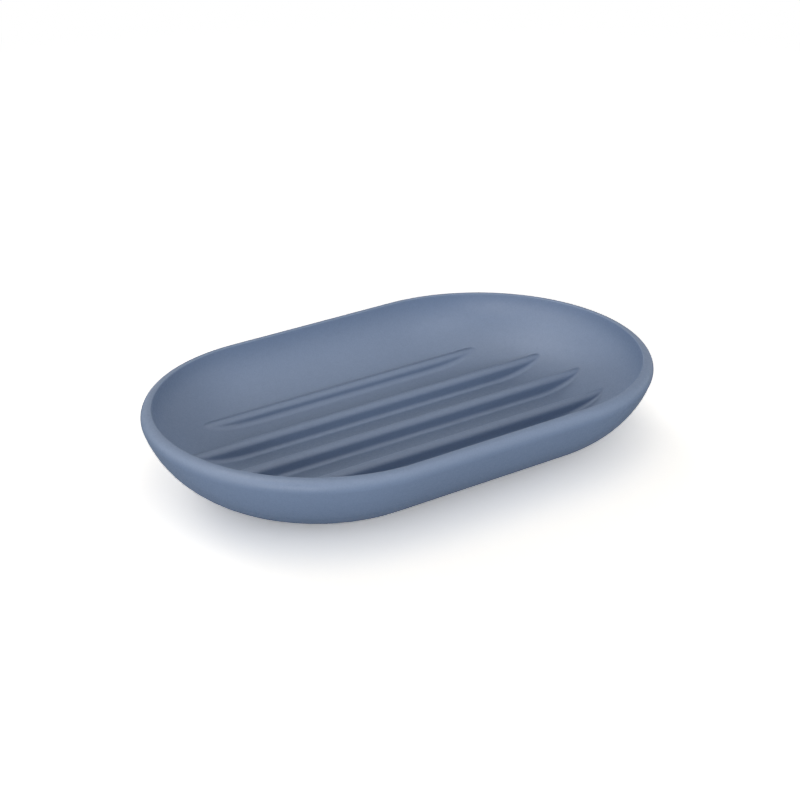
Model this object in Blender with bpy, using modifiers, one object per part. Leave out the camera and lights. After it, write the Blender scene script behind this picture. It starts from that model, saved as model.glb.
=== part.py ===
"""Soap dish: a shallow round-ended bowl moulded in one piece with five drain ribs, on four non-slip pads.

The dish lies along X with its underside down. The origin is at the middle of the plane it stands on,
and every length is in metres. One section runs round the whole dish: up the outer wall, over the rim,
down the inner wall and onto the floor. The ribs run lengthwise and end in the sloping inner wall.
"""

import math

import bmesh
import bpy

# The whole dish
LENGTH = 0.140
WIDTH = 0.0889
BODY_HEIGHT = 0.0206

# Rim, in section: a crisp inner edge, a crown that falls outwards and a round shoulder
RIM_THICKNESS = 0.00285
INNER_EDGE_RADIUS = 0.0003
SHOULDER_RADIUS = 0.0024
SHOULDER_TURN = math.radians(67.5)

# Outer wall: a short turn under the rim, then the belly that sweeps in to the flat base
FLARE_RADIUS = 0.0025
FLARE_TURN = math.radians(19.2)
BASE_WIDTH = 0.0390

# Inside
FLOOR_THICKNESS = 0.0038
FLOOR_WIDTH = 0.0352

# Drain ribs
RIB_COUNT = 5
RIB_PITCH = 0.01405
RIB_THICKNESS = 0.0032
RIB_HEIGHT = 0.0039
RIB_DRAFT = math.radians(3)
RIB_FOOT_RADIUS = 0.0012
RIB_SINK = 0.0012

# Non-slip pads, each in a round recess of the base
PAD_DIAMETER = 0.0090
PAD_THICKNESS = 0.0015
PAD_STAND = 0.0004
PAD_EDGE_RADIUS = 0.0003
PAD_CLEARANCE = 0.0003
PAD_MARGIN = 0.0016
PAD_ANGLE = math.radians(60)

# Worked out from the sizes above
END_RADIUS = WIDTH / 2
END_CENTRE = LENGTH / 2 - END_RADIUS
BASE_RADIUS = BASE_WIDTH / 2
BASE_Z = PAD_STAND
TOP_Z = BASE_Z + BODY_HEIGHT
FLOOR_Z = BASE_Z + FLOOR_THICKNESS
FLOOR_RADIUS = FLOOR_WIDTH / 2
INNER_RADIUS = END_RADIUS - RIM_THICKNESS
INNER_EDGE_Z = TOP_Z - INNER_EDGE_RADIUS
RIB_CREST_Z = FLOOR_Z + RIB_HEIGHT
RECESS_RADIUS = PAD_DIAMETER / 2 + PAD_CLEARANCE
RECESS_TOP_Z = PAD_THICKNESS + PAD_CLEARANCE
PAD_REACH = BASE_RADIUS - PAD_MARGIN - RECESS_RADIUS

# Facets of the curved parts
END_STEPS = 36
BELLY_STEPS = 12
FLARE_STEPS = 3
RIM_STEPS = 4
SHOULDER_STEPS = 7
INNER_WALL_STEPS = 14
CREST_STEPS = 10
FOOT_STEPS = 3
PAD_STEPS = 40
PAD_EDGE_STEPS = 2

LEVEL = math.pi / 2
SMOOTH_ANGLE = math.radians(35)
OVERRUN = 0.001
WELD = 0.00001

SLATE_BLUE = (0.150, 0.205, 0.295, 1.0)
PALE_GREY = (0.52, 0.53, 0.54, 1.0)


def clear_scene():
    for obj in list(bpy.data.objects):
        bpy.data.objects.remove(obj, do_unlink=True)


def new_collection(name):
    collection = bpy.data.collections.new(name)
    bpy.context.scene.collection.children.link(collection)
    return collection


def new_material(name, colour, roughness, metallic):
    material = bpy.data.materials.new(name)
    material.use_nodes = True
    shader = material.node_tree.nodes["Principled BSDF"]
    shader.inputs["Base Color"].default_value = colour
    shader.inputs["Roughness"].default_value = roughness
    shader.inputs["Metallic"].default_value = metallic
    material.diffuse_color = colour
    return material


def soft_touch_plastic():
    return new_material("soft_touch_plastic", SLATE_BLUE, roughness=0.6, metallic=0.0)


def pad_rubber():
    return new_material("pad_rubber", PALE_GREY, roughness=0.8, metallic=0.0)


def make_helper(obj):
    """Marks an object as a cutter or guide, which is no part of the dish."""
    obj.hide_render = True
    obj.display_type = "WIRE"


def shade_round(mesh):
    mesh.shade_smooth()
    mesh.set_sharp_from_angle(angle=SMOOTH_ANGLE)


def arc(centre, radius, start, end, steps):
    """Points of an arc in a plane, both ends included, angles counted from the first axis."""
    points = []
    for step in range(steps + 1):
        angle = start + (end - start) * step / steps
        points.append(
            (centre[0] + radius * math.cos(angle), centre[1] + radius * math.sin(angle))
        )
    return points


def conic(start, corner, end, weight, steps):
    """A conic arc that leaves start and reaches end along the lines to their common corner."""
    points = []
    for step in range(steps + 1):
        t = step / steps
        shares = ((1 - t) ** 2, 2 * weight * t * (1 - t), t**2)
        total = sum(shares)
        points.append(
            tuple(
                sum(share * point[i] for share, point in zip(shares, (start, corner, end))) / total
                for i in range(2)
            )
        )
    return points


def rim_profile():
    """The rim from the widest point of the outer wall, over the top, to the inner wall."""
    shoulder_reach = SHOULDER_RADIUS * (1 - math.cos(SHOULDER_TURN))
    crown_reach = RIM_THICKNESS - INNER_EDGE_RADIUS - shoulder_reach
    crown_radius = crown_reach / math.cos(SHOULDER_TURN)
    crown_centre = (INNER_RADIUS + INNER_EDGE_RADIUS, TOP_Z - crown_radius)
    shoulder_centre = (
        END_RADIUS - SHOULDER_RADIUS,
        crown_centre[1] + (crown_radius - SHOULDER_RADIUS) * math.sin(SHOULDER_TURN),
    )
    edge_centre = (INNER_RADIUS + INNER_EDGE_RADIUS, INNER_EDGE_Z)
    shoulder = arc(shoulder_centre, SHOULDER_RADIUS, 0, SHOULDER_TURN, SHOULDER_STEPS)
    crown = arc(crown_centre, crown_radius, SHOULDER_TURN, LEVEL, RIM_STEPS)
    inner_edge = arc(edge_centre, INNER_EDGE_RADIUS, LEVEL, math.pi, RIM_STEPS)
    return shoulder + crown[1:] + inner_edge[1:]


def outer_wall_profile(widest):
    """The outer wall from the edge of the flat base up to the widest point."""
    flare_centre = (widest[0] - FLARE_RADIUS, widest[1])
    flare = arc(flare_centre, FLARE_RADIUS, -FLARE_TURN, 0, FLARE_STEPS)
    belly_top = flare[0]
    corner = (belly_top[0] - (belly_top[1] - BASE_Z) * math.tan(FLARE_TURN), BASE_Z)
    weight = math.cos((LEVEL - FLARE_TURN) / 2)
    belly = conic((BASE_RADIUS, BASE_Z), corner, belly_top, weight, BELLY_STEPS)
    return belly + flare[1:]


def inner_wall_profile(sink):
    """The inner wall, a quarter of an ellipse down to the floor, moved into the material by sink."""
    reach = INNER_RADIUS - FLOOR_RADIUS + sink
    drop = INNER_EDGE_Z - FLOOR_Z + sink
    points = []
    for step in range(INNER_WALL_STEPS + 1):
        angle = LEVEL * step / INNER_WALL_STEPS
        points.append(
            (FLOOR_RADIUS + reach * math.cos(angle), INNER_EDGE_Z - drop * math.sin(angle))
        )
    return points


def body_profile():
    rim = rim_profile()
    outer = outer_wall_profile(rim[0])
    return outer[:-1] + rim + inner_wall_profile(sink=0)[1:]


def rib_limit_profile():
    """A solid that fills the bowl and reaches a little way into its wall and floor."""
    wall = inner_wall_profile(RIB_SINK)
    return list(reversed(wall))


def half_stadium_face(bm, height):
    """The flat of the half body at this height, out to the section that runs round it."""
    rim = [vert for vert in bm.verts if vert.co.z == height and vert.is_boundary]
    rim.sort(key=lambda vert: math.atan2(vert.co.y, vert.co.x))
    bm.faces.new(rim)


def swept_body(name, profile, collection):
    """A round-ended body: the profile is turned about the end's centre, drawn straight to the middle
    and mirrored. The profile runs from the edge of its lower flat to the edge of its upper flat."""
    bm = bmesh.new()
    section = [bm.verts.new((END_CENTRE, -radius, height)) for radius, height in profile]
    edges = [bm.edges.new(pair) for pair in zip(section, section[1:])]
    turned = bmesh.ops.spin(
        bm,
        geom=section + edges,
        cent=(END_CENTRE, 0, 0),
        axis=(0, 0, 1),
        angle=math.pi,
        steps=END_STEPS,
    )
    far_edges = [item for item in turned["geom_last"] if isinstance(item, bmesh.types.BMEdge)]
    for side in (edges, far_edges):
        drawn = bmesh.ops.extrude_edge_only(bm, edges=side)
        middle = [item for item in drawn["geom"] if isinstance(item, bmesh.types.BMVert)]
        bmesh.ops.translate(bm, verts=middle, vec=(-END_CENTRE, 0, 0))
    lowest = min(vert.co.z for vert in bm.verts)
    inner_end = section[-1].co.z
    half_stadium_face(bm, lowest)
    half_stadium_face(bm, inner_end)
    bmesh.ops.recalc_face_normals(bm, faces=bm.faces)
    mesh = bpy.data.meshes.new(name)
    bm.to_mesh(mesh)
    bm.free()
    shade_round(mesh)
    obj = bpy.data.objects.new(name, mesh)
    collection.objects.link(obj)
    mirror = obj.modifiers.new("other_end", "MIRROR")
    mirror.use_axis = (True, False, False)
    mirror.merge_threshold = WELD
    return obj


def rib_section():
    """Outline of a rib across the dish: a round crest, drafted sides and a hollow foot on the floor."""
    crest_radius = RIB_THICKNESS / 2
    crest_centre = (0, RIB_CREST_Z - crest_radius)
    crest = arc(crest_centre, crest_radius, LEVEL, RIB_DRAFT, CREST_STEPS // 2)
    side_top = crest[-1]
    foot_centre_z = FLOOR_Z + RIB_FOOT_RADIUS
    side_end_z = foot_centre_z - RIB_FOOT_RADIUS * math.sin(RIB_DRAFT)
    side_end = side_top[0] + (side_top[1] - side_end_z) * math.tan(RIB_DRAFT)
    foot_centre = (side_end + RIB_FOOT_RADIUS * math.cos(RIB_DRAFT), foot_centre_z)
    foot = arc(foot_centre, RIB_FOOT_RADIUS, math.pi + RIB_DRAFT, 3 * LEVEL, FOOT_STEPS + 1)[:-1]
    right = crest + foot + [(foot[-1][0], FLOOR_Z - 2 * RIB_SINK)]
    left = [(-across, height) for across, height in reversed(right[1:])]
    return left + right


def prism_along_x(name, outline, half_length):
    """A flat outline in the YZ plane drawn out to both sides along X, as a welded mesh object."""
    curve = bpy.data.curves.new(name, "CURVE")
    curve.dimensions = "2D"
    curve.fill_mode = "BOTH"
    curve.extrude = half_length
    spline = curve.splines.new("POLY")
    spline.points.add(len(outline) - 1)
    for point, (across, height) in zip(spline.points, outline):
        point.co = (across, height, 0, 1)
    spline.use_cyclic_u = True
    guide = bpy.data.objects.new(name + "_outline", curve)
    bpy.context.scene.collection.objects.link(guide)
    guide.rotation_euler = (math.pi / 2, 0, math.pi / 2)
    bpy.context.view_layer.update()
    graph = bpy.context.evaluated_depsgraph_get()
    mesh = bpy.data.meshes.new_from_object(guide.evaluated_get(graph))
    mesh.name = name
    bm = bmesh.new()
    bm.from_mesh(mesh)
    bmesh.ops.remove_doubles(bm, verts=bm.verts, dist=WELD)
    bmesh.ops.recalc_face_normals(bm, faces=bm.faces)
    bm.to_mesh(mesh)
    bm.free()
    shade_round(mesh)
    obj = bpy.data.objects.new(name, mesh)
    obj.matrix_world = guide.matrix_world.copy()
    bpy.data.objects.remove(guide, do_unlink=True)
    return obj


def add_boolean(obj, name, operation, cutter=None, cutters=None):
    modifier = obj.modifiers.new(name, "BOOLEAN")
    modifier.operation = operation
    modifier.solver = "EXACT"
    if cutters:
        modifier.operand_type = "COLLECTION"
        modifier.collection = cutters
    else:
        modifier.object = cutter


def make_ribs(ribs, guides):
    """Rib bars over the whole length, each cut off inside the wall that it runs into."""
    limit = swept_body("rib_limit", rib_limit_profile(), guides)
    make_helper(limit)
    outline = rib_section()
    for number in range(RIB_COUNT):
        bar = prism_along_x(f"rib_{number + 1}", outline, LENGTH / 2)
        bar.location.y = RIB_PITCH * (number - (RIB_COUNT - 1) / 2)
        ribs.objects.link(bar)
        make_helper(bar)
        add_boolean(bar, "end_in_wall", "INTERSECT", cutter=limit)


def pad_places():
    """Where the pads go: near the four corners of the flat base, each with its name."""
    across = PAD_REACH * math.sin(PAD_ANGLE)
    along = END_CENTRE + PAD_REACH * math.cos(PAD_ANGLE)
    return {
        "front_left": (-along, -across),
        "front_right": (along, -across),
        "back_left": (-along, across),
        "back_right": (along, across),
    }


def cylinder(name, radius, bottom, top, place, collection):
    bm = bmesh.new()
    bmesh.ops.create_cone(
        bm,
        cap_ends=True,
        segments=PAD_STEPS,
        radius1=radius,
        radius2=radius,
        depth=top - bottom,
    )
    mesh = bpy.data.meshes.new(name)
    bm.to_mesh(mesh)
    bm.free()
    shade_round(mesh)
    obj = bpy.data.objects.new(name, mesh)
    obj.location = (place[0], place[1], (bottom + top) / 2)
    collection.objects.link(obj)
    return obj


def make_pads(parts, recesses, material):
    for place_name, place in pad_places().items():
        pad = cylinder(
            "nonslip_pad_" + place_name, PAD_DIAMETER / 2, 0, PAD_THICKNESS, place, parts
        )
        pad.data.materials.append(material)
        edge = pad.modifiers.new("soft_edge", "BEVEL")
        edge.width = PAD_EDGE_RADIUS
        edge.segments = PAD_EDGE_STEPS
        recess = cylinder(
            "recess_" + place_name, RECESS_RADIUS, -OVERRUN, RECESS_TOP_Z, place, recesses
        )
        make_helper(recess)


def make_dish_body(parts, ribs, recesses, material):
    body = swept_body("dish_body", body_profile(), parts)
    body.data.materials.append(material)
    add_boolean(body, "drain_ribs", "UNION", cutters=ribs)
    add_boolean(body, "pad_recesses", "DIFFERENCE", cutters=recesses)


def main():
    clear_scene()
    parts = new_collection("soap_dish")
    guides = new_collection("soap_dish_guides")
    ribs = new_collection("soap_dish_ribs")
    recesses = new_collection("soap_dish_recesses")
    make_ribs(ribs, guides)
    make_pads(parts, recesses, pad_rubber())
    make_dish_body(parts, ribs, recesses, soft_touch_plastic())


main()
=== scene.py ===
import math

import bmesh
import bpy
from bpy.props import FloatProperty, FloatVectorProperty, IntProperty, PointerProperty
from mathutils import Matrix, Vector


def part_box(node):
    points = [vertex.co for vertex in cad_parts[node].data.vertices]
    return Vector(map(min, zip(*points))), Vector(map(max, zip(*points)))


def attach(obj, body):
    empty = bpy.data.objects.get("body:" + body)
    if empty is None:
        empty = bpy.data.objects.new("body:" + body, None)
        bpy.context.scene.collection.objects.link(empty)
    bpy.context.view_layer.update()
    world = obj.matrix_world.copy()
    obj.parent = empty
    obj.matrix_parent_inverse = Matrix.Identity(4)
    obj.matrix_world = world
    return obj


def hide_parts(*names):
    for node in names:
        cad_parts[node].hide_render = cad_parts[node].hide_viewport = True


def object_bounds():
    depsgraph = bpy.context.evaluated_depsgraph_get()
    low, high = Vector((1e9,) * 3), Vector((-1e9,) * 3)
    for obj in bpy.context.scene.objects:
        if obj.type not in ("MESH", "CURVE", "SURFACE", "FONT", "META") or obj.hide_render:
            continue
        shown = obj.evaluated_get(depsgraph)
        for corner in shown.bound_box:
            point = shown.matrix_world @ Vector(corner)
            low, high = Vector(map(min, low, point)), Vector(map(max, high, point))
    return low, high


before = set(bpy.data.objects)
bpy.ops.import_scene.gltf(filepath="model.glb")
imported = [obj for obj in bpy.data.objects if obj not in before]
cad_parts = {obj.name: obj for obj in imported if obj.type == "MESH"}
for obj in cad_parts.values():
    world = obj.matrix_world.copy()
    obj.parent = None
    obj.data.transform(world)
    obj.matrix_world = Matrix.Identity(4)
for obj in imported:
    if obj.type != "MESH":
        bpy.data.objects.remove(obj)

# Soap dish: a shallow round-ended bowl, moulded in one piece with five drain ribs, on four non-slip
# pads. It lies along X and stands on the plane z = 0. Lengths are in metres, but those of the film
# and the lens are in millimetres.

bl_info = {
    "name": "Soap dish",
    "version": (1, 0, 0),
    "blender": (4, 5, 0),
    "location": "3D View > Sidebar > Soap dish",
    "description": "Makes a round-ended soap dish with drain ribs, its pads and a studio stage",
    "category": "Object",
}

CAD_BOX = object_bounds()

BODY = "root"
DISH = "dish_body"
PADS = (
    "nonslip_pad_front_left",
    "nonslip_pad_front_right",
    "nonslip_pad_back_left",
    "nonslip_pad_back_right",
)
PLASTIC = "soft_touch_plastic"
RUBBER = "pad_rubber"

QUARTER_TURN = math.pi / 2

# Steps along the curved parts of the sections
CREST_STEPS = 9
SIDE_STEPS = 2
FOOT_STEPS = 6
GROOVE_STEPS = 9
SHORE_STEPS = 12
INNER_WALL_STEPS = 14
INNER_EDGE_STEPS = 6
CROWN_STEPS = 6
SHOULDER_STEPS = 16
FLARE_STEPS = 6
BELLY_STEPS = 18
RECESS_EDGE_STEPS = 4
PAD_EDGE_STEPS = 5
PAD_SEGMENTS = 64

# Columns of the ribbed bed: along half of its straight part, and along each round end
STRAIGHT_COLUMNS = 8
END_COLUMNS = 64
# Power with which the columns crowd towards the ends
END_CROWDING = 1.5
WELD = 0.000001
FACES_AT_CLOSED_EDGE = 2

# The stage
FILM_WIDTH = 36
SEEING_RAYS = ("Is Camera Ray", "Is Glossy Ray", "Is Transmission Ray")
LAMP_DISTANCE = 4.0

# Soft boxes: name, heading from +Y towards +X and rise above the horizon in degrees, width,
# height and level
LAMPS = (
    ("front_left_soft_box", 225, 12, 2.4, 1.5, 0.56),
    ("front_right_soft_box", 135, 12, 2.4, 1.5, 0.15),
    ("right_soft_box", 90, 12, 2.4, 1.5, 0.06),
    ("left_soft_box", 270, 12, 2.4, 1.5, 0.05),
    ("top_soft_box", 0, 90, 2.4, 2.4, 0.05),
)
# Soft boxes that show only in the sheen
SHEEN_LAMPS = (
    ("left_sheen_box", 270, 12, 2.4, 1.5, 0.36),
    ("back_left_sheen_box", 315, 22, 2.4, 2.4, 0.27),
    ("high_front_right_sheen_box", 135, 45, 2.4, 2.4, 0.20),
    ("high_front_sheen_box", 180, 45, 2.4, 2.4, 0.35),
    ("high_left_sheen_box", 270, 45, 2.4, 2.4, 0.35),
    ("high_right_sheen_box", 90, 65, 2.4, 2.4, 0.20),
    ("high_back_left_sheen_box", 315, 65, 2.4, 2.4, 0.47),
    ("top_sheen_box", 0, 90, 2.4, 2.4, 0.18),
)
# Soft boxes that leave no sheen
DULL_LAMPS = (
    ("back_soft_box", 0, 22, 2.4, 2.4, 0.30),
)

# Noise of the grain, which has a fine part and a broad part, and of the mottle
FINE_SHARE = 0.75
FINE_DETAIL = 2
BROAD_SCALE = 0.3
BROAD_DETAIL = 1
MOTTLE_DETAIL = 3

# How far the grain and the mottle change a finish
GRAIN_TONE = 0.12
GRAIN_ROUGHNESS = 0.25
MOTTLE_TONE = 0.03
MOTTLE_ROUGHNESS = 0.04


def box_size(axis):
    lowest, highest = CAD_BOX
    return highest[axis] - lowest[axis]


def length_property(name, description, default):
    return FloatProperty(
        name=name, description=description, default=default, min=0, precision=5, unit="LENGTH"
    )


def angle_property(name, description, default):
    return FloatProperty(
        name=name, description=description, default=default, subtype="ANGLE", unit="ROTATION"
    )


def colour_property(name, description, default):
    return FloatVectorProperty(
        name=name, description=description, default=default, min=0, max=1, subtype="COLOR"
    )


def share_property(name, description, default, highest=1):
    return FloatProperty(
        name=name, description=description, default=default, min=0, max=highest, subtype="FACTOR"
    )


class DishSizes(bpy.types.PropertyGroup):
    """Sizes of the moulded dish"""

    length: length_property("Length", "Overall length of the dish", box_size(0))
    width: length_property("Width", "Overall width of the dish", box_size(1))
    top_height: length_property("Top height", "Top of the rim above the counter", box_size(2))
    rim_thickness: length_property("Rim thickness", "Widest point to inner edge", 0.00285)
    inner_edge_radius: length_property("Inner edge radius", "Radius of the inner edge", 0.0003)
    shoulder_radius: length_property("Shoulder radius", "Radius of the outside of the rim", 0.0024)
    shoulder_turn: angle_property(
        "Shoulder turn", "Angle that the shoulder spans", math.radians(67.5)
    )
    flare_radius: length_property("Flare radius", "Radius of the wall just below the rim", 0.0025)
    flare_turn: angle_property(
        "Flare turn", "Lean of the wall where the belly begins", math.radians(19.2)
    )
    base_width: length_property("Base width", "Width of the flat underside", 0.0390)
    base_height: length_property("Base height", "Underside of the dish above the counter", 0.0004)
    floor_thickness: length_property("Floor thickness", "Thickness under the drain grooves", 0.0038)
    floor_width: length_property("Floor width", "Width of the flat floor", 0.0352)


class RibSizes(bpy.types.PropertyGroup):
    """Sizes of the drain ribs"""

    count: IntProperty(
        name="Ribs", description="Number of drain ribs, which is odd", default=5, min=1, max=9
    )
    pitch: length_property("Pitch", "From one rib's crest to the next", 0.01405)
    thickness: length_property("Thickness", "Thickness of a rib at its round crest", 0.0032)
    height: length_property("Height", "Height of the crests above the floor", 0.0039)
    draft: angle_property("Draft", "Lean of a rib's sides", math.radians(3))
    foot_radius: length_property("Foot radius", "Radius of the hollow along a rib's foot", 0.0012)


class PadSizes(bpy.types.PropertyGroup):
    """Sizes of the non-slip pads and of the recesses that hold them"""

    diameter: length_property("Diameter", "Diameter of a pad", 0.0090)
    thickness: length_property("Thickness", "Thickness of a pad", 0.0015)
    edge_radius: length_property("Edge radius", "Radius along a pad's edges", 0.0003)
    clearance: length_property("Clearance", "Gap round a pad in its recess", 0.0003)
    recess_edge: length_property("Recess edge", "Radius along the mouth of a recess", 0.0002)


class Finishes(bpy.types.PropertyGroup):
    """Colours and grain of the two materials"""

    dish_colour: colour_property(
        "Dish colour", "Colour of the soft-touch plastic", (0.145, 0.205, 0.320)
    )
    dish_roughness: share_property("Dish roughness", "Roughness of the soft-touch plastic", 0.52)
    dish_grain: length_property("Dish grain", "Size of the fine grain on the dish", 0.0004)
    dish_grain_depth: length_property("Dish grain depth", "Depth of the fine grain", 0.00002)
    dish_patch: length_property("Dish mottle", "Size of the slow mottle on the dish", 0.03)
    pad_colour: colour_property("Pad colour", "Colour of the pads' rubber", (0.52, 0.53, 0.54))
    pad_roughness: share_property("Pad roughness", "Roughness of the pads' rubber", 0.8)
    pad_grain: length_property("Pad grain", "Size of the grain on the pads", 0.0006)
    pad_grain_depth: length_property("Pad grain depth", "Depth of the grain on the pads", 0.00003)
    pad_patch: length_property("Pad mottle", "Size of the slow mottle on the pads", 0.004)


class StageSettings(bpy.types.PropertyGroup):
    """Camera, floor and light"""

    eye: FloatVectorProperty(
        name="Eye",
        description="Place of the camera",
        default=(-0.26254, -0.37202, 0.22722),
        precision=5,
        subtype="TRANSLATION",
        unit="LENGTH",
    )
    heading: angle_property("Heading", "Turn of the view from +Y towards +X", math.radians(35.088))
    look_down: angle_property(
        "Look down", "Angle of the view below the horizon", math.radians(25.071)
    )
    focal_length: FloatProperty(
        name="Focal length", description="Focal length in millimetres", default=88.06, min=1
    )
    floor_size: length_property("Floor size", "Side of the square floor", 8.0)
    # Painted warm tint on the floor near the dish, which cancels the blue light that the dish
    # bounces onto it
    floor_bounce_cancel_tint: colour_property(
        "Floor tint", "Evens out the blue cast near the dish", (1, 0.97, 0.92)
    )
    floor_level: share_property("Floor level", "Lightness as the floor lights the dish", 0.88)
    floor_seen: share_property("Floor seen", "Lightness as the camera sees it", 1.85, highest=3)
    floor_mirrored: share_property("Floor mirrored", "Lightness as the dish mirrors it", 0.3)
    tint_fade_start: length_property("Tint fade", "Where the tint begins to fade", 0.06)
    floor_fade_start: length_property(
        "Fade start", "Where the tint has faded and the floor begins to fade into white", 0.15
    )
    floor_fade_end: length_property("Fade end", "Where the floor has faded into white", 0.45)
    sky_level: share_property("Sky level", "Even light from all round", 0.50, highest=2)


# Sections and places


def arc(centre, radius, start, end, steps):
    """Points of an arc in a plane, both ends included, angles counted from the first axis."""
    points = []
    for step in range(steps + 1):
        turn = start + (end - start) * step / steps
        points.append((centre[0] + radius * math.cos(turn), centre[1] + radius * math.sin(turn)))
    return points


def conic(start, corner, end, weight, steps):
    """A conic arc that leaves start and reaches end along the lines to their common corner."""
    points = []
    for step in range(steps + 1):
        t = step / steps
        shares = ((1 - t) ** 2, 2 * weight * t * (1 - t), t**2)
        total = sum(shares)
        points.append(
            tuple(
                sum(part * point[i] for part, point in zip(shares, (start, corner, end))) / total
                for i in range(2)
            )
        )
    return points


class DishShape:
    """Lengths that follow from the sizes of the dish and its ribs."""

    def __init__(self, dish, ribs, pads):
        self.end_radius = dish.width / 2
        self.end_centre = dish.length / 2 - self.end_radius
        self.top = dish.top_height
        self.base = dish.base_height
        self.base_radius = dish.base_width / 2
        self.floor = dish.base_height + dish.floor_thickness
        self.floor_radius = dish.floor_width / 2
        self.inner_radius = self.end_radius - dish.rim_thickness
        self.inner_edge = dish.top_height - dish.inner_edge_radius
        self.bed_radius = ribs.count * ribs.pitch / 2
        self.crest = self.floor + ribs.height
        self.crest_radius = ribs.thickness / 2
        self.recess_radius = pads.diameter / 2 + pads.clearance
        self.recess_top = pads.thickness + pads.clearance


def wall_section(dish, shape):
    """The wall from the edge of the ribbed bed up the inside, over the rim and down to the base."""
    reach = shape.inner_radius - shape.floor_radius
    drop = shape.inner_edge - shape.floor
    bed_turn = math.acos((shape.bed_radius - shape.floor_radius) / reach)
    inner_wall = []
    for step in range(INNER_WALL_STEPS + 1):
        turn = bed_turn * (1 - step / INNER_WALL_STEPS)
        inner_wall.append(
            (shape.floor_radius + reach * math.cos(turn), shape.inner_edge - drop * math.sin(turn))
        )
    shoulder_reach = dish.shoulder_radius * (1 - math.cos(dish.shoulder_turn))
    crown_reach = dish.rim_thickness - dish.inner_edge_radius - shoulder_reach
    crown_radius = crown_reach / math.cos(dish.shoulder_turn)
    edge_centre = (shape.inner_radius + dish.inner_edge_radius, shape.inner_edge)
    crown_centre = (edge_centre[0], shape.top - crown_radius)
    shoulder_centre = (
        shape.end_radius - dish.shoulder_radius,
        crown_centre[1] + (crown_radius - dish.shoulder_radius) * math.sin(dish.shoulder_turn),
    )
    inner_edge = arc(
        edge_centre, dish.inner_edge_radius, math.pi, QUARTER_TURN, INNER_EDGE_STEPS
    )
    crown = arc(crown_centre, crown_radius, QUARTER_TURN, dish.shoulder_turn, CROWN_STEPS)
    shoulder = arc(
        shoulder_centre, dish.shoulder_radius, dish.shoulder_turn, 0, SHOULDER_STEPS
    )
    flare_centre = (shape.end_radius - dish.flare_radius, shoulder_centre[1])
    flare = arc(flare_centre, dish.flare_radius, 0, -dish.flare_turn, FLARE_STEPS)
    belly_top = flare[-1]
    corner = (
        belly_top[0] - (belly_top[1] - shape.base) * math.tan(dish.flare_turn),
        shape.base,
    )
    weight = math.cos((QUARTER_TURN - dish.flare_turn) / 2)
    belly = conic(belly_top, corner, (shape.base_radius, shape.base), weight, BELLY_STEPS)
    section = inner_wall
    for part in (inner_edge, crown, shoulder, flare, belly):
        section = section + part[1:]
    return section


def rib_lines(ribs, shape):
    """Distances across the dish at which the bed has a row of points, dense on the ribs."""
    width = shape.crest_radius + ribs.foot_radius
    sunk = width - ribs.height
    foot_end = (width - sunk * math.sin(ribs.draft)) / math.cos(ribs.draft)
    half_cell = []
    for step in range(CREST_STEPS + 1):
        turn = (QUARTER_TURN - ribs.draft) * step / CREST_STEPS
        half_cell.append(shape.crest_radius * math.sin(turn))
    foot_start = foot_end - ribs.foot_radius * math.cos(ribs.draft)
    side_start = half_cell[-1]
    for step in range(1, SIDE_STEPS + 1):
        half_cell.append(side_start + (foot_start - side_start) * step / SIDE_STEPS)
    for step in range(1, FOOT_STEPS + 1):
        turn = ribs.draft + (QUARTER_TURN - ribs.draft) * step / FOOT_STEPS
        half_cell.append(foot_end - ribs.foot_radius * math.cos(turn))
    groove_half = ribs.pitch / 2
    groove = []
    for step in range(1, GROOVE_STEPS + 1):
        groove.append(foot_end + (groove_half - foot_end) * step / GROOVE_STEPS)
    last_rib = ribs.pitch * (ribs.count - 1) / 2
    lines = []
    for number in range(ribs.count):
        middle = ribs.pitch * number - last_rib
        cell = half_cell + groove
        outer = half_cell if number == ribs.count - 1 else cell
        lower = half_cell if number == 0 else cell[:-1]
        lines += [middle - across for across in reversed(lower[1:])]
        lines += [middle + across for across in outer]
    shore_start = math.asin((last_rib + foot_end) / shape.bed_radius)
    shore = []
    for step in range(1, SHORE_STEPS + 1):
        turn = shore_start + (QUARTER_TURN - shore_start) * step / SHORE_STEPS
        shore.append(shape.bed_radius * math.sin(turn))
    return [-across for across in reversed(shore)] + lines + shore


def box_middle(node):
    lowest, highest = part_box(node)
    return (lowest + highest) / 2


# Helpers for objects and node trees


def remove_object(name):
    obj = bpy.data.objects.get(name)
    if obj is not None:
        bpy.data.objects.remove(obj, do_unlink=True)


def guide_curve(name, points):
    """A curve through points, which a node tree reads and which is removed afterwards."""
    curve = bpy.data.curves.new(name, "CURVE")
    curve.dimensions = "3D"
    spline = curve.splines.new("POLY")
    spline.points.add(len(points) - 1)
    for point, place in zip(spline.points, points):
        point.co = (*place, 1)
    guide = bpy.data.objects.new(name, curve)
    bpy.context.scene.collection.objects.link(guide)
    return guide


def feed(tree, socket, value):
    """Gives an input a number, a colour, a vector, or the value that another node works out."""
    if isinstance(value, Field):
        value = value.socket
    if isinstance(value, bpy.types.NodeSocket):
        tree.links.new(value, socket)
    else:
        socket.default_value = value


def add_node(tree, kind, settings=None, **values):
    """Adds a node. Settings are its own options, and values go to the inputs of those names."""
    node = tree.nodes.new(kind)
    for option, value in (settings or {}).items():
        setattr(node, option, value)
    for name, value in values.items():
        feed(tree, node.inputs[name.replace("_", " ")], value)
    return node


def calculate(tree, operation, *values):
    node = tree.nodes.new("ShaderNodeMath")
    node.operation = operation
    for socket, value in zip(node.inputs, values):
        feed(tree, socket, value)
    return Field(tree, node.outputs["Value"])


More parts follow.
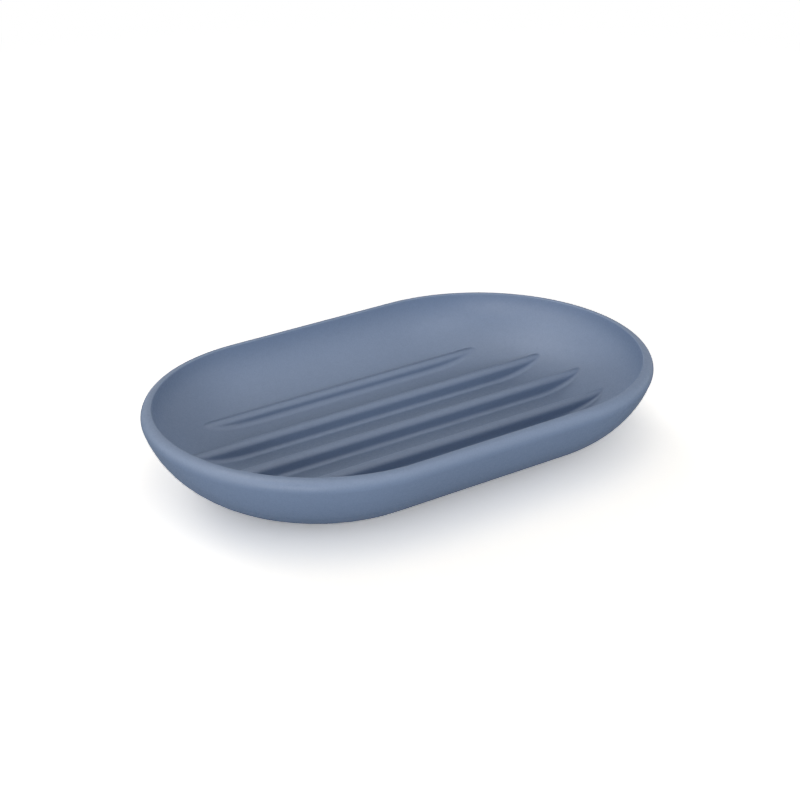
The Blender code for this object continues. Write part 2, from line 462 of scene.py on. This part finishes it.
class Field:
    """A value that a node tree works out and that takes part in sums as a plain number does."""

    def __init__(self, tree, socket):
        self.tree = tree
        self.socket = socket

    def calculate(self, operation, *others):
        return calculate(self.tree, operation, self, *others)

    def __add__(self, other):
        return self.calculate("ADD", other)

    __radd__ = __add__

    def __sub__(self, other):
        return self.calculate("SUBTRACT", other)

    def __rsub__(self, other):
        return calculate(self.tree, "SUBTRACT", other, self)

    def __neg__(self):
        return self.calculate("MULTIPLY", -1)

    def __mul__(self, other):
        return self.calculate("MULTIPLY", other)

    def __truediv__(self, other):
        return self.calculate("DIVIDE", other)

    def __rtruediv__(self, other):
        return calculate(self.tree, "DIVIDE", other, self)

    def __pow__(self, other):
        return self.calculate("POWER", other)

    def __lt__(self, other):
        return self.calculate("LESS_THAN", other)

    def at_least(self, other):
        return self.calculate("MAXIMUM", other)

    def at_most(self, other):
        return self.calculate("MINIMUM", other)

    def size(self):
        return self.calculate("ABSOLUTE")

    def sign(self):
        return self.calculate("SIGN")

    def rounded(self):
        return self.calculate("ROUND")

    def root(self):
        """Square root, which is 0 below 0."""
        return self.at_least(0).calculate("SQRT")

    def sine(self):
        return self.calculate("SINE")

    def cosine(self):
        return self.calculate("COSINE")

    def choose(self, where_true, where_false):
        """The first value where this one is 1, and the second where it is 0."""
        return self * where_true + (1 - self) * where_false


def new_tree(name):
    """An empty geometry node tree that puts out a mesh."""
    tree = bpy.data.node_groups.new(name, "GeometryNodeTree")
    tree.interface.new_socket("Geometry", in_out="INPUT", socket_type="NodeSocketGeometry")
    tree.interface.new_socket("Mesh", in_out="OUTPUT", socket_type="NodeSocketGeometry")
    tree.is_modifier = True
    return tree


def declare_inputs(tree, sockets):
    """Adds named inputs to a tree, and gives the group's input node."""
    for name, kind in sockets.items():
        tree.interface.new_socket(name, in_out="INPUT", socket_type="NodeSocket" + kind)
    return tree.nodes.new("NodeGroupInput")


def finish_tree(tree, mesh, material):
    """Ends a tree in a smooth, real mesh with its material."""
    smooth = add_node(tree, "GeometryNodeSetShadeSmooth", Geometry=mesh)
    real = add_node(tree, "GeometryNodeRealizeInstances", Geometry=smooth.outputs["Geometry"])
    finished = add_node(
        tree, "GeometryNodeSetMaterial", Geometry=real.outputs["Geometry"], Material=material
    )
    end = tree.nodes.new("NodeGroupOutput")
    feed(tree, end.inputs["Mesh"], finished.outputs["Geometry"])


def mesh_from_tree(name, tree, values):
    """The plain mesh that a tree gives with these values of its inputs."""
    maker = bpy.data.objects.new(name + "_maker", bpy.data.meshes.new(name + "_maker"))
    bpy.context.scene.collection.objects.link(maker)
    modifier = maker.modifiers.new("shape", "NODES")
    modifier.node_group = tree
    for socket in tree.interface.items_tree:
        if socket.in_out == "INPUT" and socket.name in values:
            modifier[socket.identifier] = values[socket.name]
    bpy.context.view_layer.update()
    graph = bpy.context.evaluated_depsgraph_get()
    mesh = bpy.data.meshes.new_from_object(maker.evaluated_get(graph))
    mesh.name = name
    maker_mesh = maker.data
    bpy.data.objects.remove(maker, do_unlink=True)
    bpy.data.meshes.remove(maker_mesh)
    if not mesh.polygons:
        raise RuntimeError(name + " has no faces")
    # The shape that a tree starts from brings an empty material slot with it
    if mesh.materials[0] is None:
        mesh.materials.pop(index=0)
    return mesh


def add_piece(name, mesh, node):
    """Shows a mesh in the place of a CAD node."""
    remove_object(name)
    piece = bpy.data.objects.new(name, mesh)
    bpy.context.scene.collection.objects.link(piece)
    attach(piece, BODY)
    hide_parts(node)
    return piece


# Node trees of the pieces


def point_of(tree, guide, number):
    """The place of one point of a guide curve, split into its three distances."""
    position = add_node(tree, "GeometryNodeInputPosition")
    sample = add_node(
        tree,
        "GeometryNodeSampleIndex",
        {"data_type": "FLOAT_VECTOR", "domain": "POINT"},
        Geometry=guide,
        Value=position.outputs["Position"],
        Index=number,
    )
    parts = add_node(tree, "ShaderNodeSeparateXYZ", Vector=sample.outputs["Value"])
    return [Field(tree, parts.outputs[axis]) for axis in "XYZ"]


def own_position(tree):
    position = add_node(tree, "GeometryNodeInputPosition")
    parts = add_node(tree, "ShaderNodeSeparateXYZ", Vector=position.outputs["Position"])
    return [Field(tree, parts.outputs[axis]) for axis in "XYZ"]


def guide_geometry(tree, guide):
    """The curve of a guide object, and the number of its points."""
    info = add_node(tree, "GeometryNodeObjectInfo", Object=guide)
    curve = info.outputs["Geometry"]
    count = add_node(
        tree, "GeometryNodeAttributeDomainSize", {"component": "CURVE"}, Geometry=curve
    )
    return curve, Field(tree, count.outputs["Point Count"])


def rings_along(tree, patch, section, straight_half):
    """Draws the open edge of a patch along a section, ring by ring. The section's first distance is
    the way out from the middle line of the piece, and its third is the height."""
    curve, count = guide_geometry(tree, section)
    start = tree.nodes.new("GeometryNodeRepeatInput")
    end = tree.nodes.new("GeometryNodeRepeatOutput")
    start.pair_with_output(end)
    feed(tree, start.inputs["Iterations"], count - 1)
    feed(tree, start.inputs["Geometry"], patch)
    neighbours = add_node(tree, "GeometryNodeInputMeshEdgeNeighbors")
    open_edge = Field(tree, neighbours.outputs["Face Count"]) < FACES_AT_CLOSED_EDGE
    ring = add_node(
        tree,
        "GeometryNodeExtrudeMesh",
        {"mode": "EDGES"},
        Mesh=start.outputs["Geometry"],
        Selection=open_edge,
        Offset_Scale=0,
    )
    x, y, _ = own_position(tree)
    outwards_x = x - x.at_least(-straight_half).at_most(straight_half)
    outwards = (outwards_x * outwards_x + y * y).root()
    reach, _, height = point_of(tree, curve, Field(tree, start.outputs["Iteration"]) + 1)
    place = add_node(
        tree,
        "ShaderNodeCombineXYZ",
        X=x - outwards_x + outwards_x / outwards * reach,
        Y=y / outwards * reach,
        Z=height,
    )
    moved = add_node(
        tree,
        "GeometryNodeSetPosition",
        Geometry=ring.outputs["Mesh"],
        Selection=ring.outputs["Top"],
        Position=place.outputs["Vector"],
    )
    feed(tree, end.inputs["Geometry"], moved.outputs["Geometry"])
    return end.outputs["Geometry"]


def dish_tree():
    """The dish without its base: a bed with the drain ribs, and rings that go up the inner wall,
    over the rim and down the outer wall."""
    tree = new_tree("dish_shape")
    given = declare_inputs(
        tree,
        {
            "Rib lines": "Object",
            "Wall section": "Object",
            "Columns": "Int",
            "Straight share": "Float",
            "Straight half": "Float",
            "Bed radius": "Float",
            "Inner radius": "Float",
            "Inner edge": "Float",
            "Floor": "Float",
            "Floor radius": "Float",
            "Rib pitch": "Float",
            "Outer rib": "Int",
            "Crest": "Float",
            "Crest radius": "Float",
            "Foot radius": "Float",
            "Draft": "Float",
            "Weld": "Float",
            "Material": "Material",
        },
    )

    def value(name):
        return Field(tree, given.outputs[name])

    lines, line_count = guide_geometry(tree, given.outputs["Rib lines"])
    grid = add_node(
        tree,
        "GeometryNodeMeshGrid",
        Size_X=2,
        Size_Y=2,
        Vertices_X=value("Columns"),
        Vertices_Y=line_count,
    )
    along, across, _ = own_position(tree)

    # Rows lie at constant distances across the dish, and columns crowd towards its ends
    line = ((across + 1) / 2 * (line_count - 1)).rounded()
    _, y, _ = point_of(tree, lines, line)
    straight_share = value("Straight share")
    straight_half = value("Straight half")
    end_part = (along.size() - straight_share).at_least(0) / (1 - straight_share)
    eased = 1 - (1 - end_part).at_least(0) ** END_CROWDING
    bed_radius = value("Bed radius")
    end_reach = (bed_radius * bed_radius - y * y).root()
    middle_part = (along.size() / straight_share).at_most(1)
    x = along.sign() * (middle_part * straight_half + eased * end_reach)

    # The bowl: a flat floor, and a quarter of an ellipse up to the inner edge
    past_straight = (x.size() - straight_half).at_least(0)
    outwards = (past_straight * past_straight + y * y).root()
    floor_radius = value("Floor radius")
    climb = (outwards - floor_radius).at_least(0) / (value("Inner radius") - floor_radius)
    depth = value("Inner edge") - value("Floor")
    bowl = value("Inner edge") - depth * (1 - climb * climb).root()

    # The ribs: a round crest, drafted sides and a hollow foot that follows the bowl
    outer_rib = value("Outer rib")
    rib = (y / value("Rib pitch")).rounded().at_most(outer_rib).at_least(-outer_rib)
    beside = (y - rib * value("Rib pitch")).size()
    crest_radius = value("Crest radius")
    foot_radius = value("Foot radius")
    lean_sine = value("Draft").sine()
    lean_cosine = value("Draft").cosine()
    width = crest_radius + foot_radius
    sunk = width - (value("Crest") - bowl).at_least(0)
    foot_end = (sunk < width * lean_sine).choose(
        (width - sunk * lean_sine) / lean_cosine, (width * width - sunk * sunk).root()
    )
    foot_start = foot_end - foot_radius * (foot_end / width).at_most(lean_cosine)
    crest_middle = value("Crest") - crest_radius
    crest = (beside < crest_radius * lean_cosine).choose(
        crest_middle + (crest_radius * crest_radius - beside * beside).root(),
        crest_middle + (crest_radius - beside * lean_cosine) / lean_sine,
    )
    into_foot = (foot_end - beside).at_least(0)
    foot = bowl + foot_radius - (foot_radius * foot_radius - into_foot * into_foot).root()
    z = (beside < foot_start).choose(crest, foot)

    place = add_node(tree, "ShaderNodeCombineXYZ", X=x, Y=y, Z=z)
    bed = add_node(
        tree,
        "GeometryNodeSetPosition",
        Geometry=grid.outputs["Mesh"],
        Position=place.outputs["Vector"],
    )
    # The end columns of the two outermost rows meet in one point
    welded = add_node(
        tree,
        "GeometryNodeMergeByDistance",
        Geometry=bed.outputs["Geometry"],
        Distance=value("Weld"),
    )
    shell = rings_along(
        tree, welded.outputs["Geometry"], given.outputs["Wall section"], straight_half
    )
    finish_tree(tree, shell, given.outputs["Material"])
    return tree


def pad_tree():
    """A round pad: its flat top, and rings that go over its edge, down its side and under it."""
    tree = new_tree("pad_shape")
    given = declare_inputs(
        tree,
        {
            "Pad section": "Object",
            "Top radius": "Float",
            "Top height": "Float",
            "Segments": "Int",
            "Place": "Vector",
            "Weld": "Float",
            "Material": "Material",
        },
    )
    disc = add_node(
        tree,
        "GeometryNodeMeshCircle",
        {"fill_type": "NGON"},
        Vertices=given.outputs["Segments"],
        Radius=given.outputs["Top radius"],
    )
    rise = add_node(tree, "ShaderNodeCombineXYZ", Z=given.outputs["Top height"])
    top = add_node(
        tree,
        "GeometryNodeSetPosition",
        Geometry=disc.outputs["Mesh"],
        Offset=rise.outputs["Vector"],
    )
    rings = rings_along(
        tree, top.outputs["Geometry"], given.outputs["Pad section"], straight_half=0
    )
    # The last ring closes in one point
    closed = add_node(
        tree, "GeometryNodeMergeByDistance", Geometry=rings, Distance=given.outputs["Weld"]
    )
    placed = add_node(
        tree,
        "GeometryNodeSetPosition",
        Geometry=closed.outputs["Geometry"],
        Offset=given.outputs["Place"],
    )
    finish_tree(tree, placed.outputs["Geometry"], given.outputs["Material"])
    return tree


# Materials


def new_group(name, inputs, outputs):
    """An empty shader node group with named inputs and outputs, and its two end nodes."""
    group = bpy.data.node_groups.new(name, "ShaderNodeTree")
    for socket in inputs:
        group.interface.new_socket(socket, in_out="INPUT", socket_type="NodeSocketFloat")
    for socket in outputs:
        group.interface.new_socket(socket, in_out="OUTPUT", socket_type="NodeSocketFloat")
    return group, group.nodes.new("NodeGroupInput"), group.nodes.new("NodeGroupOutput")


def object_noise(tree, scale, detail):
    """Noise from 0 to 1 that is fixed to the piece."""
    place = add_node(tree, "ShaderNodeTexCoord").outputs["Object"]
    noise = add_node(tree, "ShaderNodeTexNoise", Vector=place, Scale=scale, Detail=detail)
    return Field(tree, noise.outputs["Fac"])


def about_zero(noise):
    """Spreads noise from 0 to 1 over -1 to 1."""
    return noise * 2 - 1


def moulded_grain():
    """The fine grain of a moulded surface: its height, and a tone that is lighter on the peaks."""
    name = "moulded_grain"
    if name in bpy.data.node_groups:
        return bpy.data.node_groups[name]
    group, given, end = new_group(name, ["Grain size"], ["Height", "Tone"])
    size = Field(group, given.outputs["Grain size"])
    fine = object_noise(group, 1 / size, FINE_DETAIL)
    broad = object_noise(group, BROAD_SCALE / size, BROAD_DETAIL)
    height = fine * FINE_SHARE + broad * (1 - FINE_SHARE)
    feed(group, end.inputs["Height"], height)
    feed(group, end.inputs["Tone"], about_zero(height))
    return group


def slow_mottle():
    """Slow unevenness of a finish from one patch of the surface to the next, about 0."""
    name = "slow_mottle"
    if name in bpy.data.node_groups:
        return bpy.data.node_groups[name]
    group, given, end = new_group(name, ["Patch size"], ["Tone"])
    size = Field(group, given.outputs["Patch size"])
    tone = about_zero(object_noise(group, 1 / size, MOTTLE_DETAIL))
    feed(group, end.inputs["Tone"], tone)
    return group


def moulded_finish(name, base, roughness, grain_size, grain_depth, patch_size):
    """A matt moulded material: grain in its relief, and grain and mottle in its tone and sheen."""
    material = bpy.data.materials.new(name)
    material.use_nodes = True
    material.diffuse_color = (*base, 1)
    tree = material.node_tree
    shader = tree.nodes["Principled BSDF"]
    grain = add_node(
        tree, "ShaderNodeGroup", {"node_tree": moulded_grain()}, Grain_size=grain_size
    )
    mottle = add_node(
        tree, "ShaderNodeGroup", {"node_tree": slow_mottle()}, Patch_size=patch_size
    )
    grain_tone = Field(tree, grain.outputs["Tone"])
    mottle_tone = Field(tree, mottle.outputs["Tone"])
    tinted = add_node(
        tree,
        "ShaderNodeHueSaturation",
        Value=1 + grain_tone * GRAIN_TONE + mottle_tone * MOTTLE_TONE,
        Color=(*base, 1),
    )
    bump = add_node(
        tree, "ShaderNodeBump", Distance=grain_depth, Height=grain.outputs["Height"]
    )
    feed(tree, shader.inputs["Base Color"], tinted.outputs["Color"])
    unevenness = grain_tone * -GRAIN_ROUGHNESS + mottle_tone * MOTTLE_ROUGHNESS
    feed(tree, shader.inputs["Roughness"], roughness + unevenness)
    feed(tree, shader.inputs["Normal"], bump.outputs["Normal"])
    return material


# Pieces


def ring_of_points(bm, centre, radius, height, count):
    points = []
    for step in range(count):
        turn = 2 * math.pi * step / count
        points.append(
            bm.verts.new(
                (centre[0] + radius * math.cos(turn), centre[1] + radius * math.sin(turn), height)
            )
        )
    return points


def loop_edges(bm, points):
    return [bm.edges.new(pair) for pair in zip(points, points[1:] + points[:1])]


def close_base(mesh, shape, pads, centres):
    """Closes the underside with a flat plate that has a round recess for each pad."""
    bm = bmesh.new()
    bm.from_mesh(mesh)
    outline = [edge for edge in bm.edges if edge.is_boundary]
    edge = pads.recess_edge
    mouth = arc(
        (shape.recess_radius + edge, shape.base + edge),
        edge,
        -QUARTER_TURN,
        -math.pi,
        RECESS_EDGE_STEPS,
    )
    inner_corner = arc(
        (shape.recess_radius - edge, shape.recess_top - edge),
        edge,
        0,
        QUARTER_TURN,
        RECESS_EDGE_STEPS,
    )
    section = mouth + inner_corner
    plate_edges = list(outline)
    for centre in centres:
        rings = [
            ring_of_points(bm, centre, radius, height, PAD_SEGMENTS) for radius, height in section
        ]
        plate_edges += loop_edges(bm, rings[0])
        for lower, upper in zip(rings, rings[1:]):
            for step in range(PAD_SEGMENTS):
                after = (step + 1) % PAD_SEGMENTS
                bm.faces.new((lower[step], lower[after], upper[after], upper[step]))
        bm.faces.new(rings[-1])
    bmesh.ops.triangle_fill(bm, use_beauty=True, edges=plate_edges)
    bmesh.ops.recalc_face_normals(bm, faces=bm.faces)
    for face in bm.faces:
        face.smooth = True
    bm.to_mesh(mesh)
    bm.free()


class SOAP_DISH_OT_dish(bpy.types.Operator):
    """Make the moulded dish with its drain ribs, rim, belly and recessed base"""

    bl_idname = "soap_dish.dish"
    bl_label = "Make the dish"

    def execute(self, context):
        scene = context.scene
        sizes, ribs, pads = scene.dish_sizes, scene.dish_rib_sizes, scene.dish_pad_sizes
        finishes = scene.dish_finishes
        if ribs.count % 2 == 0:
            raise ValueError("The number of drain ribs has to be odd")
        shape = DishShape(sizes, ribs, pads)
        lines = guide_curve("rib_lines", [(0, across, 0) for across in rib_lines(ribs, shape)])
        section = guide_curve(
            "wall_section", [(reach, 0, height) for reach, height in wall_section(sizes, shape)]
        )
        tree = dish_tree()
        mesh = mesh_from_tree(
            DISH,
            tree,
            {
                "Rib lines": lines,
                "Wall section": section,
                "Columns": 2 * (STRAIGHT_COLUMNS + END_COLUMNS) + 1,
                "Straight share": STRAIGHT_COLUMNS / (STRAIGHT_COLUMNS + END_COLUMNS),
                "Straight half": shape.end_centre,
                "Bed radius": shape.bed_radius,
                "Inner radius": shape.inner_radius,
                "Inner edge": shape.inner_edge,
                "Floor": shape.floor,
                "Floor radius": shape.floor_radius,
                "Rib pitch": ribs.pitch,
                "Outer rib": ribs.count // 2,
                "Crest": shape.crest,
                "Crest radius": shape.crest_radius,
                "Foot radius": ribs.foot_radius,
                "Draft": ribs.draft,
                "Weld": WELD,
                "Material": moulded_finish(
                    PLASTIC,
                    finishes.dish_colour,
                    finishes.dish_roughness,
                    finishes.dish_grain,
                    finishes.dish_grain_depth,
                    finishes.dish_patch,
                ),
            },
        )
        for guide in (lines, section):
            bpy.data.objects.remove(guide, do_unlink=True)
        close_base(mesh, shape, pads, [box_middle(pad) for pad in PADS])
        add_piece("moulded_dish", mesh, DISH)
        return {"FINISHED"}


class SOAP_DISH_OT_pads(bpy.types.Operator):
    """Make the four non-slip pads under the dish"""

    bl_idname = "soap_dish.pads"
    bl_label = "Make the non-slip pads"

    def execute(self, context):
        scene = context.scene
        pads = scene.dish_pad_sizes
        radius = pads.diameter / 2
        edge = pads.edge_radius
        upper = arc((radius - edge, pads.thickness - edge), edge, QUARTER_TURN, 0, PAD_EDGE_STEPS)
        lower = arc((radius - edge, edge), edge, 0, -QUARTER_TURN, PAD_EDGE_STEPS)
        points = [(reach, 0, height) for reach, height in upper + lower + [(0, 0)]]
        section = guide_curve("pad_section", points)
        tree = pad_tree()
        finishes = scene.dish_finishes
        material = moulded_finish(
            RUBBER,
            finishes.pad_colour,
            finishes.pad_roughness,
            finishes.pad_grain,
            finishes.pad_grain_depth,
            finishes.pad_patch,
        )
        for node in PADS:
            middle = box_middle(node)
            mesh = mesh_from_tree(
                node + "_mesh",
                tree,
                {
                    "Pad section": section,
                    "Top radius": radius - edge,
                    "Top height": pads.thickness,
                    "Segments": PAD_SEGMENTS,
                    "Place": (middle[0], middle[1], 0.0),
                    "Weld": WELD,
                    "Material": material,
                },
            )
            add_piece(node.replace("nonslip", "rubber"), mesh, node)
        bpy.data.objects.remove(section, do_unlink=True)
        return {"FINISHED"}


# Stage


def aim(obj, place, direction):
    """Puts an object at a place, with its own -Z along a direction."""
    obj.location = place
    obj.rotation_euler = Vector(direction).to_track_quat("-Z", "Y").to_euler()


def direction_of(heading, rise):
    """A unit vector at an angle from +Y towards +X, and at an angle above the horizon."""
    return Vector(
        (
            math.sin(heading) * math.cos(rise),
            math.cos(heading) * math.cos(rise),
            math.sin(rise),
        )
    )


def add_lamp(name, heading, rise, width, height, level):
    """A soft box that faces the dish from a heading and a rise. Its level is the light that it
    gives a surface that faces it, where 1 shows a colour as it is written."""
    light = bpy.data.lights.new(name, "AREA")
    light.shape = "RECTANGLE"
    light.size = width
    light.size_y = height
    light.energy = level * (math.pi * LAMP_DISTANCE) ** 2
    lamp = bpy.data.objects.new(name, light)
    bpy.context.scene.collection.objects.link(lamp)
    towards = direction_of(math.radians(heading), math.radians(rise))
    aim(lamp, towards * LAMP_DISTANCE, -towards)
    lamp.visible_camera = False
    return lamp


def seen_by(tree, *rays):
    """1 for the named kinds of ray, and 0 for all others."""
    path = tree.nodes.new("ShaderNodeLightPath")
    seen = Field(tree, path.outputs[rays[0]])
    for ray in rays[1:]:
        seen = seen.at_least(Field(tree, path.outputs[ray]))
    return seen


def smooth_step(tree, value, start, end):
    """Goes smoothly from 0 at the first value to 1 at the second."""
    step = add_node(
        tree,
        "ShaderNodeMapRange",
        {"interpolation_type": "SMOOTHSTEP"},
        Value=value,
        From_Min=start,
        From_Max=end,
    )
    return Field(tree, step.outputs["Result"])


def studio_floor(stage):
    """A matt floor that lights the dish as pale grey, and looks white where nothing shades it. Near
    the dish it carries a painted warm tint that cancels the blue light the dish bounces onto it,
    and far from the dish it fades into plain white."""
    material = bpy.data.materials.new("studio_floor")
    material.use_nodes = True
    tree = material.node_tree
    tree.nodes.clear()
    in_view = seen_by(tree, SEEING_RAYS[0])
    mirrored = seen_by(tree, *SEEING_RAYS[1:])
    out_of_view = mirrored.choose(stage.floor_mirrored, stage.floor_level)
    place = add_node(tree, "ShaderNodeTexCoord").outputs["Object"]
    reach = add_node(tree, "ShaderNodeVectorMath", {"operation": "LENGTH"}, Vector=place)
    distance = reach.outputs["Value"]
    near = smooth_step(tree, distance, stage.floor_fade_start, stage.tint_fade_start)
    tones = []
    # Near the dish the floor gets a painted warm tint that cancels the blue light bounced from the
    # dish
    for share in stage.floor_bounce_cancel_tint:
        seen = (1 - near * (1 - share)) * stage.floor_seen
        tones.append(in_view.choose(seen, out_of_view))
    colour = add_node(
        tree, "ShaderNodeCombineColor", Red=tones[0], Green=tones[1], Blue=tones[2]
    )
    matt = add_node(tree, "ShaderNodeBsdfDiffuse", Color=colour.outputs["Color"])
    white = add_node(tree, "ShaderNodeEmission")
    far = smooth_step(tree, distance, stage.floor_fade_start, stage.floor_fade_end)
    both = add_node(tree, "ShaderNodeMixShader", Fac=in_view.at_least(mirrored) * far)
    tree.links.new(matt.outputs["BSDF"], both.inputs[1])
    tree.links.new(white.outputs["Emission"], both.inputs[2])
    end = add_node(tree, "ShaderNodeOutputMaterial")
    tree.links.new(both.outputs["Shader"], end.inputs["Surface"])
    return material


def studio_world(stage):
    """Even light from all round, seen as white."""
    world = bpy.data.worlds.new("studio_world")
    world.use_nodes = True
    tree = world.node_tree
    tree.nodes.clear()
    strength = seen_by(tree, *SEEING_RAYS).choose(1, stage.sky_level)
    background = add_node(tree, "ShaderNodeBackground", Strength=strength)
    end = add_node(tree, "ShaderNodeOutputWorld")
    tree.links.new(background.outputs["Background"], end.inputs["Surface"])
    return world


def add_floor(stage):
    half = stage.floor_size / 2
    corners = [(-half, -half, 0), (half, -half, 0), (half, half, 0), (-half, half, 0)]
    mesh = bpy.data.meshes.new("studio_floor")
    mesh.from_pydata(corners, [], [(0, 1, 2, 3)])
    mesh.materials.append(studio_floor(stage))
    floor = bpy.data.objects.new("studio_floor", mesh)
    bpy.context.scene.collection.objects.link(floor)


def add_camera(stage):
    data = bpy.data.cameras.new("camera")
    data.lens = stage.focal_length
    data.sensor_width = FILM_WIDTH
    camera = bpy.data.objects.new("camera", data)
    bpy.context.scene.collection.objects.link(camera)
    aim(camera, stage.eye, direction_of(stage.heading, -stage.look_down))
    bpy.context.scene.camera = camera


class SOAP_DISH_OT_stage(bpy.types.Operator):
    """Set up the camera, the white floor and the soft studio light"""

    bl_idname = "soap_dish.stage"
    bl_label = "Set up the stage"

    def execute(self, context):
        scene = context.scene
        stage = scene.dish_stage
        scene.view_settings.view_transform = "Standard"
        add_camera(stage)
        add_floor(stage)
        scene.world = studio_world(stage)
        for lamp in LAMPS:
            add_lamp(*lamp)
        for lamp in SHEEN_LAMPS:
            add_lamp(*lamp).visible_diffuse = False
        for lamp in DULL_LAMPS:
            add_lamp(*lamp).visible_glossy = False
        return {"FINISHED"}


class SOAP_DISH_PT_panel(bpy.types.Panel):
    """The sizes, finishes and makers of the soap dish"""

    bl_label = "Soap dish"
    bl_idname = "SOAP_DISH_PT_panel"
    bl_space_type = "VIEW_3D"
    bl_region_type = "UI"
    bl_category = "Soap dish"

    def draw(self, context):
        layout = self.layout
        for operator in OPERATORS:
            layout.operator(operator.bl_idname)
        for name, group in SETTINGS.items():
            box = layout.box()
            settings = getattr(context.scene, name)
            box.label(text=group.__doc__)
            for setting in group.__annotations__:
                box.prop(settings, setting)


OPERATORS = (SOAP_DISH_OT_stage, SOAP_DISH_OT_dish, SOAP_DISH_OT_pads)
SETTINGS = {
    "dish_sizes": DishSizes,
    "dish_rib_sizes": RibSizes,
    "dish_pad_sizes": PadSizes,
    "dish_finishes": Finishes,
    "dish_stage": StageSettings,
}


def register():
    for name, group in SETTINGS.items():
        bpy.utils.register_class(group)
        setattr(bpy.types.Scene, name, PointerProperty(type=group))
    for cls in (*OPERATORS, SOAP_DISH_PT_panel):
        bpy.utils.register_class(cls)


def unregister():
    for cls in (SOAP_DISH_PT_panel, *OPERATORS):
        bpy.utils.unregister_class(cls)
    for name, group in SETTINGS.items():
        delattr(bpy.types.Scene, name)
        bpy.utils.unregister_class(group)


def main():
    register()
    bpy.ops.soap_dish.stage()
    bpy.ops.soap_dish.dish()
    bpy.ops.soap_dish.pads()


if __name__ == "__main__":
    main()
